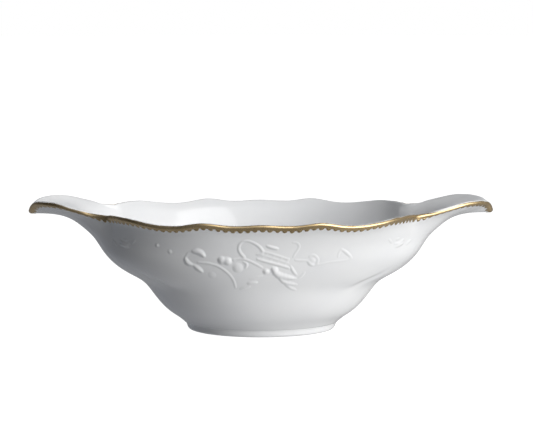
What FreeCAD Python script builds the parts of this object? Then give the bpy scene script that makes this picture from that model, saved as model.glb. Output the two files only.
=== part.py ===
import FreeCAD, Part
import math
import os

os.makedirs("parts", exist_ok=True)

# ------------------------------------------------------------------
# Low oval serving bowl with two lug handles, wavy rim and foot ring.
# Millimetres. +Z up. Origin: centre of the foot ring's resting face.
# +X runs through the right handle, -Y is the front of the bowl.
# ------------------------------------------------------------------

# ---- driving dimensions (mm) ----
OVERALL_LENGTH = 331.6      # tip to tip over both lug handles, for reference
FOOT_Z = 5.0                # height of the foot ring, and level of the bowl's underside
FLOOR_Z = 9.6               # top of the floor inside
FLOOR_A, FLOOR_B = 42.0, 40.5   # half axes of the flat part of the floor
T_WALL = 4.2                # wall thickness
T_RIM = 3.0                 # wall thickness at the lip
TIP_EXTRA = 1.2             # added at the two handle tips
GILD_T = 0.3                # stand-in thickness of the gilded band and teeth
GILD_DROP = 1.6             # how far the band reaches down the outside, below the lip's edge
TOOTH_N = 166               # gilded teeth round the rim
TOOTH_H = 1.7               # height of a tooth below the band
TOOTH_FILL = 0.70           # tooth width as a share of the pitch
FOOT_OUT = [(5.0, 54.75, 52.55), (4.2, 54.0, 51.95), (3.2, 53.5, 51.6), (1.8, 53.0, 51.3), (0.7, 52.5, 50.9), (0.0, 51.7, 50.1)]
FOOT_IN = [(5.0, 47.0, 45.2), (3.0, 47.4, 45.6), (0.9, 48.1, 46.4), (0.0, 49.1, 47.4)]

N_TH = 176                  # columns round the bowl
M_OUT = 27                  # rows up the outside
LIP = [22.5, 45.0, 67.5, 90.0, 112.5, 135.0, 157.5]   # rows over the lip, degrees
# raised ornament on the front wall: centre lines as (x across, z up), width, height
LEFT_SPRAY_STROKES = [
    ([(-43.7, 56.7), (-37.1, 56.2), (-33.7, 55.5), (-29.3, 53.9), (-24.4, 50.4), (-20.7, 46.3), (-18.9, 42.2), (-18.2, 38.7)], 1.43, 0.72),
    ([(-46.8, 64.3), (-44.1, 64.3), (-41.4, 63.3), (-39.4, 61.2)], 4.11, 1.05),
    ([(-52.0, 59.2), (-51.5, 57.5), (-50.0, 55.7), (-47.4, 54.6)], 3.57, 0.90),
    ([(-46.1, 54.3), (-43.4, 52.2), (-40.7, 50.0)], 3.21, 0.95),
    ([(-51.5, 60.7), (-50.1, 62.6), (-47.8, 64.0)], 1.79, 0.42),
    ([(-13.2, 57.8), (-10.6, 55.9), (-11.8, 52.3)], 1.34, 0.70),
]
LEFT_SPRAY_BUDS = [(-27.3, 58.5, 2.59, 1.25), (-62.7, 63.3, 1.52, 0.60), (-34.1, 47.8, 2.86, 0.32), (-23.6, 58.0, 2.68, 1.30), (-16.8, 53.3, 3.39, 0.62), (-71.4, 67.3, 1.34, 0.80)]
CARTOUCHE_STROKES = [
    ([(-12.4, 60.9), (-14.5, 63.2), (-15.9, 66.1), (-15.4, 69.5), (-13.1, 71.7), (-10.4, 72.1), (-7.6, 71.4), (-4.2, 69.7), (-1.3, 67.2), (0.2, 64.6)], 1.61, 0.68),
    ([(-18.0, 59.3), (-14.8, 59.5), (-11.3, 59.0), (-7.4, 57.5), (-3.7, 55.5), (-0.2, 53.4)], 1.34, 0.62),
    ([(2.9, 68.6), (6.7, 67.4), (10.4, 66.5)], 1.79, 0.95),
    ([(1.0, 64.6), (5.7, 63.2), (11.4, 61.3), (17.7, 59.0)], 1.25, 0.52),
    ([(-1.0, 62.3), (5.0, 60.6), (11.8, 58.2), (17.9, 56.1)], 0.98, 0.42),
    ([(-3.4, 59.5), (3.4, 57.4), (11.8, 55.1), (18.2, 52.9)], 1.43, 0.85),
    ([(4.2, 64.1), (1.3, 61.5), (-1.5, 59.0)], 0.89, 0.36),
    ([(8.8, 62.5), (6.3, 59.9), (3.8, 57.2)], 0.89, 0.36),
    ([(13.5, 60.8), (11.3, 58.3), (9.1, 55.8)], 0.89, 0.36),
    ([(18.1, 60.1), (16.1, 57.1), (14.1, 54.1)], 0.89, 0.36),
    ([(20.1, 70.9), (23.3, 70.5), (24.7, 68.4), (23.7, 65.6), (22.0, 63.2), (20.7, 60.6)], 1.16, 0.48),
    ([(-4.2, 62.7), (-1.0, 63.2), (1.0, 64.9)], 1.79, 0.60),
]
CARTOUCHE_BUDS = [(2.4, 50.7, 1.96, 1.05), (-19.2, 58.8, 1.16, 0.55)]
LOWER_LEAVES_STROKES = [
    ([(6.9, 52.7), (8.6, 50.0), (11.5, 47.8), (15.9, 46.5), (22.4, 45.3)], 4.11, 1.15),
    ([(11.4, 45.8), (14.6, 43.2), (18.9, 41.7), (23.5, 40.8)], 2.68, 0.90),
    ([(15.5, 41.4), (19.4, 38.5), (23.5, 36.4)], 1.96, 0.62),
    ([(18.7, 54.8), (20.8, 50.8), (23.4, 47.4)], 1.61, 0.70),
    ([(28.8, 50.1), (26.4, 47.1), (23.2, 44.7)], 1.43, 0.55),
    ([(0.2, 47.5), (-2.8, 46.8), (-6.0, 45.9), (-9.7, 45.4)], 1.34, 0.55),
    ([(-9.8, 42.1), (-7.1, 42.5), (-3.7, 43.0)], 2.32, 0.85),
    ([(-15.2, 37.8), (-11.8, 38.8), (-8.4, 39.7)], 1.70, 0.65),
]
LOWER_LEAVES_BUDS = [(8.3, 51.8, 2.14, 1.00)]
RIGHT_SPRAY_STROKES = [
    ([(21.9, 58.6), (25.7, 58.2), (29.7, 58.0)], 1.25, 0.50),
    ([(31.4, 60.5), (33.7, 61.9), (35.9, 60.9), (37.5, 58.6), (36.9, 55.6)], 1.34, 0.52),
    ([(30.7, 57.7), (32.3, 55.6), (34.5, 54.6)], 1.96, 0.78),
    ([(35.5, 54.4), (38.9, 55.0), (44.0, 56.1), (50.0, 56.8), (55.2, 57.0), (60.6, 58.3)], 0.98, 0.50),
    ([(53.7, 65.4), (56.4, 63.1), (59.0, 60.7), (60.9, 58.4)], 1.70, 0.66),
    ([(53.5, 65.4), (51.8, 62.6), (51.2, 59.5)], 1.16, 0.45),
]
RIGHT_SPRAY_BUDS = [(33.8, 58.0, 2.14, 0.55)]
HANDLE_SPRIG_STROKES = [
    ([(-103.6, 67.1), (-101.7, 65.8), (-99.7, 64.0)], 1.43, 0.60),
    ([(-97.6, 65.9), (-94.6, 64.9), (-91.2, 63.7)], 1.61, 0.90),
    ([(-98.4, 68.5), (-96.0, 67.3), (-93.6, 66.2), (-90.6, 66.4)], 1.31, 0.75),
    ([(-94.7, 69.8), (-93.5, 69.4), (-92.2, 69.0)], 1.19, 0.65),
    ([(-89.3, 67.0), (-88.0, 68.5), (-86.7, 70.1)], 1.07, 0.50),
]
# lower wall levels: z, half length (X), half width (Y), superellipse exponent
WALL = [
 (5.0, 54.8, 52.6, 2.0),
 (8.4, 58.8, 56.0, 2.0),
 (12.6, 64.9, 61.2, 2.0),
 (19.5, 72.2, 68.4, 2.03),
 (27.5, 78.4, 74.6, 2.05),
 (33.0, 82.8, 77.9, 2.07),
 (37.0, 87.7, 80.3, 2.09),
 (41.0, 94.9, 82.9, 2.10),
 (47.5, 104.8, 86.4, 2.10),
 (57.0, 113.3, 89.6, 2.12),
]
# upper levels: z, A, B, n, handle reach added at the end, share of the rim wave
UPPER = [
 (66.0, 113.2, 91.9, 2.2, 6.7, 0.08),
 (72.2, 113.0, 93.7, 2.3, 14.4, 0.22),
 (76.4, 112.5, 95.3, 2.4, 24.6, 0.52),
 (79.0, 112.3, 96.8, 2.5, 37.2, 0.86),
 (80.8, 112.0, 98.0, 2.6, 51.6, 1.00),
]

def pchip(tab):
    xs = [p[0] for p in tab]; ys = [p[1] for p in tab]
    n = len(xs)
    h = [xs[i+1]-xs[i] for i in range(n-1)]
    d = [(ys[i+1]-ys[i])/h[i] for i in range(n-1)]
    m = [0.0]*n
    for i in range(1, n-1):
        if d[i-1]*d[i] > 0:
            w1 = 2*h[i]+h[i-1]; w2 = h[i]+2*h[i-1]
            m[i] = (w1+w2)/(w1/d[i-1]+w2/d[i])
    def f(x):
        if x <= xs[0]: return ys[0]
        if x >= xs[-1]: return ys[-1]
        i = 0
        while x > xs[i+1]: i += 1
        t = (x-xs[i])/h[i]
        return ((2*t**3-3*t*t+1)*ys[i] + (t**3-2*t*t+t)*h[i]*m[i]
                + (-2*t**3+3*t*t)*ys[i+1] + (t**3-t*t)*h[i]*m[i+1])
    return f

REACH_EDGE = pchip([(0,1.0),(2.4,.985),(4.8,.945),(9.6,.81),(13.8,.615),(17.4,.35),(20.5,.12),(23.5,.02),(27,0),(90,0)])
REACH_IN = pchip([(0,1.0),(4.5,.965),(9,.87),(14,.66),(18,.35),(21.5,.11),(24.5,.015),(28,0),(90,0)])
# height of the lip's outer edge round the rim
EDGE_Z = pchip([(0,82.2),(1.2,82.8),(2.6,84.8),(4.2,87.3),(6,88.9),(8,89.7),(10,90.2),(12.2,90.2),(14,89.3),(15.8,87.4),(17.6,85.3),(19,83.9),
                (20.5,83.3),(22,83.1),(24,83.0),(28,83.2),(31,83.1),(34,82.9),(37,82.7),(40,82.2),(43.5,81.2),(47,80.3),(50.5,79.5),
                (54.5,79.2),(57,79.4),(60,80.0),(62.5,80.8),(64.5,81.4),(67.5,81.9),(70.5,81.6),(74.5,80.6),(78,80.1),(81,80.1),
                (84,80.35),(87,80.65),(90,80.8)])
EDGE_BASE = 80.8
H_79 = pchip([(0,81.9),(4.5,83.9),(9,85.6),(14,86.1),(18,83.6),(21.5,81.8),(26,81.2),(34,80.9)])
H_77 = pchip([(0,79.1),(9,80.8),(14,80.9),(18,79.2),(22,78.0),(27,77.6),(34,77.4)])
H_72 = pchip([(0,73.4),(14,73.6),(22,73.0),(30,72.6),(34,72.4)])
H_66 = pchip([(0,66.6),(14,66.4),(22,66.0),(34,66.0)])
HB = [H_66, H_72, H_77, H_79]
PLAN_WAVE = pchip([(0,0),(28,0),(40,0.7),(54.5,-1.1),(67.5,1.0),(78,-0.5),(90,0.3)])

def superell(A, B, n, th):
    return (abs(math.cos(th)/A)**n + abs(math.sin(th)/B)**n)**(-1.0/n)

def fold(th):
    a = math.degrees(th) % 180.0
    return min(a, 180.0-a)

def levels(th):
    """Outer profile at polar angle th: list of (r, z) from the foot to the lip's outer edge."""
    a = fold(th)
    out = [(superell(A, B, n, th), z) for z, A, B, n in WALL]
    wz = EDGE_Z(a)-EDGE_BASE
    w = min(1.0, max(0.0, (a-24.0)/10.0))
    w = w*w*(3-2*w)
    wr = PLAN_WAVE(a)
    for k, (z, A, B, n, reach, share) in enumerate(UPPER):
        g = REACH_EDGE(a) if k == 4 else REACH_IN(a)
        r = superell(A, B, n, th) + reach*g + wr*share
        zz = EDGE_Z(a) if k == 4 else (1-w)*HB[k](a) + w*(z+share*wz)
        out.append((r, zz))
    return out

def spline(pts):
    """Natural cubic spline through points, by chord length. Returns f(u) for u in 0..1."""
    n = len(pts)
    s = [0.0]
    for i in range(1, n):
        s.append(s[-1]+math.hypot(pts[i][0]-pts[i-1][0], pts[i][1]-pts[i-1][1]))
    L = s[-1]
    res = []
    for c in range(2):
        y = [p[c] for p in pts]
        h = [s[i+1]-s[i] for i in range(n-1)]
        al = [0.0]*n
        for i in range(1, n-1):
            al[i] = 3*((y[i+1]-y[i])/h[i]-(y[i]-y[i-1])/h[i-1])
        l = [1.0]*n; mu = [0.0]*n; zz = [0.0]*n
        for i in range(1, n-1):
            l[i] = 2*(s[i+1]-s[i-1])-h[i-1]*mu[i-1]
            mu[i] = h[i]/l[i]
            zz[i] = (al[i]-h[i-1]*zz[i-1])/l[i]
        cc = [0.0]*n; b = [0.0]*n; d = [0.0]*n
        for j in range(n-2, -1, -1):
            cc[j] = zz[j]-mu[j]*cc[j+1]
            b[j] = (y[j+1]-y[j])/h[j]-h[j]*(cc[j+1]+2*cc[j])/3
            d[j] = (cc[j+1]-cc[j])/(3*h[j])
        res.append((y, b, cc, d))
    def f(u):
        x = u*L
        i = 0
        while i < n-2 and x > s[i+1]: i += 1
        t = x-s[i]
        return tuple(y[i]+b[i]*t+c[i]*t*t+d[i]*t**3 for y, b, c, d in res)
    return f


def frac(j):
    u = j/(M_OUT-1)
    return u

def theta(i):
    s = 2*math.pi*i/N_TH
    return s - 0.22*math.sin(2*s)

def outer_grid():
    g = []
    for i in range(N_TH):
        th = theta(i)
        f = spline(levels(th))
        row = []
        for j in range(M_OUT):
            r, z = f(frac(j))
            row.append((r*math.cos(th), r*math.sin(th), z))
        g.append(row)
    return g

def sub(a, b): return (a[0]-b[0], a[1]-b[1], a[2]-b[2])
def add(a, b, k=1.0): return (a[0]+k*b[0], a[1]+k*b[1], a[2]+k*b[2])
def cross(a, b): return (a[1]*b[2]-a[2]*b[1], a[2]*b[0]-a[0]*b[2], a[0]*b[1]-a[1]*b[0])
def unit(a):
    l = math.sqrt(a[0]**2+a[1]**2+a[2]**2)
    return (a[0]/l, a[1]/l, a[2]/l)

def normals(g):
    n = len(g); m = len(g[0])
    N = []; T = []
    for i in range(n):
        rn = []; rt = []
        for j in range(m):
            du = sub(g[(i+1) % n][j], g[(i-1) % n][j])
            if j == 0: dv = sub(add(g[i][1], g[i][1], 3.0), add(add(g[i][0], g[i][0], 2.0), g[i][2]))
            elif j == m-1: dv = sub(add(add(g[i][m-1], g[i][m-1], 2.0), g[i][m-3]), add(g[i][m-2], g[i][m-2], 3.0))
            else: dv = sub(g[i][j+1], g[i][j-1])
            nn = unit(cross(du, dv))
            rn.append(nn); rt.append(unit(dv))
        N.append(rn); T.append(rt)
    return N, T

def tip_extra(th):
    """The wall is thicker at the two handle tips."""
    return TIP_EXTRA*math.exp(-(fold(th)/6.0)**2)

def thickness(j, th):
    u = j/(M_OUT-1)
    # 4.2 at the wall, thinning to the rim over the top quarter
    w = min(1.0, max(0.0, (u-0.55)/0.45))
    w = w*w*(3-2*w)
    return T_WALL + (T_RIM+tip_extra(th)-T_WALL)*w

def full_grid():
    """Rows from the outer base edge, up the outside, over the lip, down the inside to the floor's edge."""
    g = outer_grid()
    N, T = normals(g)
    n = len(g)
    out = []
    for i in range(n):
        col = list(g[i])
        m = M_OUT
        Eo = g[i][m-1]; nn = N[i][m-1]; tt = T[i][m-1]
        # keep the lip's direction square to the normal
        d = tt[0]*nn[0]+tt[1]*nn[1]+tt[2]*nn[2]
        tt = unit(add(tt, nn, -d))
        h = (T_RIM+tip_extra(theta(i)))/2
        C = add(Eo, nn, -h)
        for ph in LIP:
            p = math.radians(ph)
            col.append(add(add(C, nn, h*math.cos(p)), tt, h*math.sin(p)))
        for j in range(m-1, 3, -1):
            col.append(add(g[i][j], N[i][j], -thickness(j, theta(i))))
        # floor fillet
        th = theta(i)
        last = col[-1]
        rl = math.hypot(last[0], last[1]); zl = last[2]
        r1 = superell(42.0, 40.5, 2.0, th)
        c = math.cos(th); s_ = math.sin(th)
        # cubic Hermite from the inner wall to the floor: tangents along the wall's slope and flat
        prev = col[-2]
        rp = math.hypot(prev[0], prev[1])
        sl = ((rl-rp), (zl-prev[2]))
        L = math.hypot(*sl)
        span = math.hypot(rl-r1, zl-FLOOR_Z)
        m0 = (sl[0]/L*span*0.9, sl[1]/L*span*0.9)
        m1 = (-span*1.0, 0.0)
        for t in (0.2, 0.4, 0.6, 0.8, 1.0):
            a0 = 2*t**3-3*t*t+1; a1 = t**3-2*t*t+t; a2 = -2*t**3+3*t*t; a3 = t**3-t*t
            r = a0*rl+a1*m0[0]+a2*r1+a3*m1[0]
            z = a0*zl+a1*m0[1]+a2*FLOOR_Z+a3*m1[1]
            col.append((r*c, r*s_, z))
        out.append(col)
    return out


# ---- periodic tensor-product spline surfaces ----

def periodic_poles(rows):
    """Poles of the uniform periodic cubic through rows[i] (a list of points per i)."""
    n = len(rows)
    P = [[list(p) for p in r] for r in rows]
    for _ in range(34):
        worst = 0.0
        for i in range(n):
            a, b, d, p = P[i-1], P[(i+1) % n], rows[i], P[i]
            for j in range(len(p)):
                for c in range(3):
                    v = (6.0*d[j][c]-a[j][c]-b[j][c])/4.0
                    e = abs(v-p[j][c])
                    if e > worst: worst = e
                    p[j][c] = v
        if worst < 1e-7: break
    return P

def bspline_basis(knots, deg, n, t):
    """Nonzero basis values of a clamped knot vector at t: (first index, values)."""
    if t >= knots[n]: k = n-1
    else:
        k = deg
        while t >= knots[k+1]: k += 1
    N = [1.0]
    left = [0.0]*(deg+1); right = [0.0]*(deg+1)
    for j in range(1, deg+1):
        left[j] = t-knots[k+1-j]; right[j] = knots[k+j]-t
        saved = 0.0; M = []
        for r in range(j):
            tmp = N[r]/(right[r+1]+left[j-r])
            M.append(saved+right[r+1]*tmp)
            saved = left[j-r]*tmp
        M.append(saved)
        N = M
    return k-deg, N

def invert(A):
    n = len(A)
    M = [list(A[i])+[1.0 if i == j else 0.0 for j in range(n)] for i in range(n)]
    for c in range(n):
        p = max(range(c, n), key=lambda r: abs(M[r][c]))
        M[c], M[p] = M[p], M[c]
        d = M[c][c]
        M[c] = [v/d for v in M[c]]
        for r in range(n):
            if r != c and M[r][c] != 0.0:
                f = M[r][c]; row = M[c]
                M[r] = [v-f*w for v, w in zip(M[r], row)]
    return [row[n:] for row in M]

def surface(grid, linear=False):
    """Closed round i, open along j. grid[i][j] = (x, y, z). Cubic round; cubic or linear along."""
    n = len(grid); m = len(grid[0])
    if linear:
        deg = 1
        vk = [float(j) for j in range(m)]; vm = [2]+[1]*(m-2)+[2]
        cols = grid
    else:
        deg = 3
        # chord-length parameters averaged over the columns
        t = [0.0]*m
        for i in range(0, n, 4):
            s = [0.0]
            for j in range(1, m):
                a, b = grid[i][j-1], grid[i][j]
                s.append(s[-1]+math.sqrt((a[0]-b[0])**2+(a[1]-b[1])**2+(a[2]-b[2])**2))
            for j in range(m): t[j] += s[j]/s[-1]
        t = [v/t[-1] for v in t]
        knots = [0.0]*4+[(t[j]+t[j+1]+t[j+2])/3.0 for j in range(1, m-3)]+[1.0]*4
        A = [[0.0]*m for _ in range(m)]
        for j in range(m):
            k, N = bspline_basis(knots, 3, m, t[j])
            for q, v in enumerate(N): A[j][k+q] = v
        inv = invert(A)
        cols = []
        for i in range(n):
            col = []
            for j in range(m):
                w = inv[j]
                col.append([sum(w[q]*grid[i][q][c] for q in range(m)) for c in range(3)])
            cols.append(col)
        vk = []; vm = []
        for k in knots:
            if vk and abs(k-vk[-1]) < 1e-12: vm[-1] += 1
            else: vk.append(k); vm.append(1)
    P = periodic_poles(cols)
    poles = [[FreeCAD.Vector(*p) for p in col] for col in P]
    uk = [float(i) for i in range(n+1)]
    um = [1]*(n+1)
    # poles shifted so that knot 0 is where column 0 is interpolated
    poles = [poles[(i-1) % n] for i in range(n)]
    s = Part.BSplineSurface()
    s.buildFromPolesMultsKnots(poles, um, vm, uk, vk, True, False, 3, deg)
    return s

def patches(surf, nu=16, nv=1):
    """The surface cut along its own knots into nu x nv faces."""
    n = int(surf.bounds()[1])
    ks = surf.getVKnots()
    vs = [ks[(len(ks)-1)*q//nv] for q in range(nv)]+[ks[-1]]
    faces = []
    for a in range(nu):
        for b in range(nv):
            c = surf.copy()
            c.segment(float(n*a//nu), float(n*(a+1)//nu), vs[b], vs[b+1])
            faces.append(c.toShape())
    return faces

def closed_solid(faces):
    sh = Part.Shell(faces)
    sh.sewShape()
    if sh.ShapeType != "Shell":
        sh = sh.Shells[0]
    so = Part.Solid(sh)
    if so.Volume < 0:
        so.reverse()
    if not so.isValid() or not sh.isClosed():
        print("needs fixing", so.isValid(), sh.isClosed())
        so.fix(1e-6, 1e-6, 1e-5)
    return so

def cap(faces, z):
    """Flat cap on the faces' edges at height z."""
    es = []
    for f in faces:
        for e in f.Edges:
            pts = e.discretize(5)
            if max(abs(p.z-z) for p in pts) < 1e-5:
                es.append(e)
    return Part.Face(Part.Wire(Part.__sortEdges__(es)))

def save(name, shape):
    shape.exportStep("parts/%s.step" % name)
    print(name, "valid", shape.isValid(), "solids", len(shape.Solids), "volume %.1f" % shape.Volume, shape.BoundBox)

# ---- bowl body: wall, floor and both lug handles in one cast piece ----
GRID = full_grid()
body_faces = patches(surface(GRID), 16, 4)
body = closed_solid(body_faces+[cap(body_faces, FOOT_Z), cap(body_faces, FLOOR_Z)])
save("bowl_body", body)

# ---- foot ring, luted under the body ----
def ellipse_stack(rows):
    wires = []
    for z, a, b in rows:
        e = Part.Ellipse(FreeCAD.Vector(0, 0, z), a, b)
        wires.append(Part.Wire([e.toShape()]))
    return Part.makeLoft(wires, True, False)
foot = ellipse_stack(FOOT_OUT).cut(ellipse_stack(FOOT_IN))
save("foot_ring", foot)

# ---- gilded band over the lip, and its toothed lower border ----
def arc_drop(i, drop):
    """Outside point and normal at a distance below the lip's edge, measured down the wall."""
    col = GRID[i][:M_OUT]
    j = M_OUT-1; left = drop
    while True:
        d = sub(col[j-1], col[j])
        L = math.sqrt(d[0]**2+d[1]**2+d[2]**2)
        if left <= L: break
        left -= L; j -= 1
    t = left/L
    p = add(col[j], d, t)
    n = unit(add(add((0.0, 0.0, 0.0), NORM[i][j], 1-t), NORM[i][j-1], t))
    return p, n

NORM, TANG = normals([c[:M_OUT] for c in GRID])

def curve_drop(i, drop):
    """As arc_drop, but on a smooth curve through the column's last points."""
    col = GRID[i]
    k0 = M_OUT-6
    s = [0.0]
    for j in range(k0, M_OUT-1):
        a, b = col[j], col[j+1]
        s.append(s[-1]+math.sqrt(sum((a[c]-b[c])**2 for c in range(3))))
    x = s[-1]-drop
    k = 0
    while k < len(s)-2 and s[k+1] < x: k += 1
    j = k0+k
    t = (x-s[k])/(s[k+1]-s[k])
    out = []
    h = s[k+1]-s[k]
    for c in range(3):
        y0, y1 = col[j][c], col[j+1][c]
        m0 = (col[j+1][c]-col[j-1][c])/(h*2.0)
        m1 = (col[j+2][c]-col[j][c])/(h*2.0) if j+2 < M_OUT else (y1-y0)/h
        out.append((2*t**3-3*t*t+1)*y0+(t**3-2*t*t+t)*h*m0+(-2*t**3+3*t*t)*y1+(t**3-t*t)*h*m1)
    n = unit(add(add((0.0, 0.0, 0.0), NORM[i][j], 1-t), NORM[i][j+1], t))
    return tuple(out), n

inner, outer = [], []
for i in range(N_TH):
    col = GRID[i]
    pts = []
    for d in (GILD_DROP, GILD_DROP*0.75, GILD_DROP*0.5, GILD_DROP*0.25):
        pts.append(curve_drop(i, d))
    E = col[M_OUT-1]; n0 = NORM[i][M_OUT-1]
    pts.append((E, n0))
    # the lip's half round: centre is half a thickness in from the edge
    C = add(E, n0, -(T_RIM+tip_extra(theta(i)))/2)
    for k in range(5):
        p = col[M_OUT+k]
        pts.append((p, unit(sub(p, C))))
    inner.append([p for p, n in pts])
    outer.append([add(p, n, GILD_T) for p, n in pts])
band = closed_solid(patches(surface(inner), 44)+patches(surface(outer), 44)
                    + patches(surface([[inner[i][0], outer[i][0]] for i in range(N_TH)], True), 44)
                    + patches(surface([[inner[i][-1], outer[i][-1]] for i in range(N_TH)], True), 44))
save("rim_gilding_band", band)

# teeth: evenly spaced along the band's lower edge
edge = [inner[i][0] for i in range(N_TH)]
acc = [0.0]
for i in range(N_TH):
    a, b = edge[i], edge[(i+1) % N_TH]
    acc.append(acc[-1]+math.sqrt(sum((a[c]-b[c])**2 for c in range(3))))
pitch = acc[-1]/TOOTH_N
def edge_at(s, drop):
    s %= acc[-1]
    lo, hi = 0, N_TH
    while hi-lo > 1:
        m = (lo+hi)//2
        if acc[m] <= s: lo = m
        else: hi = m
    t = (s-acc[lo])/(acc[lo+1]-acc[lo])
    (p, n), (q, m_) = curve_drop(lo, drop), curve_drop((lo+1) % N_TH, drop)
    return tuple(p[c]+t*(q[c]-p[c]) for c in range(3)), unit(tuple(n[c]+t*(m_[c]-n[c]) for c in range(3)))
teeth = []
for k in range(TOOTH_N):
    s = (k+0.5)*pitch
    a, na = edge_at(s, GILD_DROP)
    b, nb = edge_at(s, GILD_DROP+TOOTH_H)
    l, _ = edge_at(s-0.3, GILD_DROP); r, _ = edge_at(s+0.3, GILD_DROP)
    down = unit(sub(b, a))
    n = unit(cross(down, sub(r, l)))
    if n[0]*na[0]+n[1]*na[1]+n[2]*na[2] < 0: n = (-n[0], -n[1], -n[2])
    side = unit(cross(n, down))
    hw = pitch*TOOTH_FILL/2; H = TOOTH_H
    prof = [(-hw, 0.0), (-hw*0.90, H*0.42), (-hw*0.66, H*0.76), (-hw*0.34, H*0.94), (0.0, H),
            (hw*0.34, H*0.94), (hw*0.66, H*0.76), (hw*0.90, H*0.42), (hw, 0.0)]
    pts = [FreeCAD.Vector(*add(add(a, side, u), down, v)) for u, v in prof]
    f = Part.Face(Part.makePolygon(pts+[pts[0]]))
    teeth.append(f.extrude(FreeCAD.Vector(*[GILD_T*c for c in n])))
bad = [k for k, t in enumerate(teeth) if not t.isValid() or t.Volume == 0]
print("teeth", len(teeth), "pitch %.2f" % pitch, "bad", bad)
save("rim_gilding_teeth", Part.makeCompound(teeth))

# ---- the outside wall as a table, for things that sit on it ----
Z_LO, Z_HI = 8.0, 78.0
def wall_table():
    tab = []
    for i in range(361):
        th = -math.pi + i*math.pi/360.0
        f = spline(levels(th))
        pts = [f(k/240.0) for k in range(241)]
        row = []; k = 0
        z = Z_LO
        while z <= Z_HI+1e-9:
            while k < 239 and pts[k+1][1] < z: k += 1
            a, b = pts[k], pts[k+1]
            t = (z-a[1])/(b[1]-a[1]) if b[1] > a[1] else 0.0
            row.append(a[0]+t*(b[0]-a[0]))
            z += 1.0
        tab.append(row)
    return tab
WALL_TAB = wall_table()

def wall_r(th, z):
    """Radius of the outside wall at angle th (front half, -pi..0) and height z."""
    u = (th+math.pi)*360.0/math.pi
    i = min(359, max(0, int(u))); p = u-i
    v = z-Z_LO
    j = min(int(Z_HI-Z_LO)-1, max(0, int(v))); q = v-j
    T = WALL_TAB
    return ((1-p)*((1-q)*T[i][j]+q*T[i][j+1]) + p*((1-q)*T[i+1][j]+q*T[i+1][j+1]))

def wall_at(x, z):
    """Point of the front wall at x and z."""
    lo, hi = -math.pi, 0.0
    for _ in range(36):
        m = (lo+hi)/2
        if wall_r(m, z)*math.cos(m) < x: lo = m
        else: hi = m
    th = (lo+hi)/2
    return (x, wall_r(th, z)*math.sin(th), z)

def wall_frame(x, z):
    p = wall_at(x, z)
    a, b = wall_at(x-0.8, z), wall_at(x+0.8, z)
    c, d = wall_at(x, z-0.8), wall_at(x, z+0.8)
    n = unit(cross(sub(b, a), sub(d, c)))
    return p, n

def smooth_path(P, step):
    """Catmull-Rom through the points, resampled to about one step."""
    out = []
    n = len(P)
    for k in range(n-1):
        a = P[k-1] if k > 0 else (2*P[0][0]-P[1][0], 2*P[0][1]-P[1][1])
        b, c = P[k], P[k+1]
        d = P[k+2] if k+2 < n else (2*c[0]-b[0], 2*c[1]-b[1])
        m = max(1, int(round(math.hypot(c[0]-b[0], c[1]-b[1])/step)))
        for q in range(m):
            t = q/float(m)
            out.append(tuple(0.5*((2*b[i])+(-a[i]+c[i])*t+(2*a[i]-5*b[i]+4*c[i]-d[i])*t*t
                                  + (-a[i]+3*b[i]-3*c[i]+d[i])*t**3) for i in range(2)))
    out.append(P[-1])
    return out

def stroke_solid(P, w, h):
    path = smooth_path(P, max(1.8, w*0.9))
    n = len(path)
    if n < 3:
        path = [path[0], ((path[0][0]+path[-1][0])/2, (path[0][1]+path[-1][1])/2), path[-1]]
        n = 3
    wires = []
    for k, (x, z) in enumerate(path):
        a = path[max(0, k-1)]; b = path[min(n-1, k+1)]
        p, nn = wall_frame(x, z)
        t = unit(sub(wall_at(*b), wall_at(*a)))
        s = unit(cross(nn, t))
        e = 1.0 if 0 < k < n-1 else 0.45
        l = wall_at(x-s[0]*w/2*e, z-s[2]*w/2*e)
        r = wall_at(x+s[0]*w/2*e, z+s[2]*w/2*e)
        top = add(p, nn, h*e)
        L, R, T = FreeCAD.Vector(*l), FreeCAD.Vector(*r), FreeCAD.Vector(*top)
        wires.append(Part.Wire([Part.makeLine(L, R), Part.Arc(R, T, L).toShape()]))
    so = Part.makeLoft(wires, True, False)
    if so.Volume < 0: so.reverse()
    return so

def bud_solid(x, z, r, h):
    p, n = wall_frame(x, z)
    R = (r*r+h*h)/(2*h)
    lat = math.degrees(math.asin((R-h)/R))
    c = add(p, n, h-R)
    return Part.makeSphere(R, FreeCAD.Vector(*c), FreeCAD.Vector(*n), lat, 90.0, 360.0)

def sprig(strokes, buds):
    solids = [stroke_solid(*s) for s in strokes]+[bud_solid(*b) for b in buds]
    for k, s in enumerate(solids):
        if not s.isValid() or len(s.Solids) != 1 or s.Volume <= 0:
            print("check solid", k, s.isValid(), len(s.Solids), s.Volume)
    whole = solids[0].multiFuse(solids[1:])
    if not whole.isValid():
        print("fuse not valid")
        whole = Part.makeCompound(solids)
    return Part.makeCompound(whole.Solids)

def half_turn(shape):
    s = shape.copy()
    s.rotate(FreeCAD.Vector(0, 0, 0), FreeCAD.Vector(0, 0, 1), 180.0)
    return s

def mirrored(strokes):
    return [([(-x, z) for x, z in P], w, h) for P, w, h in strokes]

for name, strokes, buds in (("left_spray", LEFT_SPRAY_STROKES, LEFT_SPRAY_BUDS),
                            ("cartouche", CARTOUCHE_STROKES, CARTOUCHE_BUDS),
                            ("lower_leaves", LOWER_LEAVES_STROKES, LOWER_LEAVES_BUDS),
                            ("right_spray", RIGHT_SPRAY_STROKES, RIGHT_SPRAY_BUDS)):
    s = sprig(strokes, buds)
    save("front_"+name, s)
    save("back_"+name, half_turn(s))

lf = sprig(HANDLE_SPRIG_STROKES, [])
rf = sprig(mirrored(HANDLE_SPRIG_STROKES), [])
save("left_handle_sprigs", Part.makeCompound(lf.Solids+half_turn(rf).Solids))
save("right_handle_sprigs", Part.makeCompound(rf.Solids+half_turn(lf).Solids))
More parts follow.
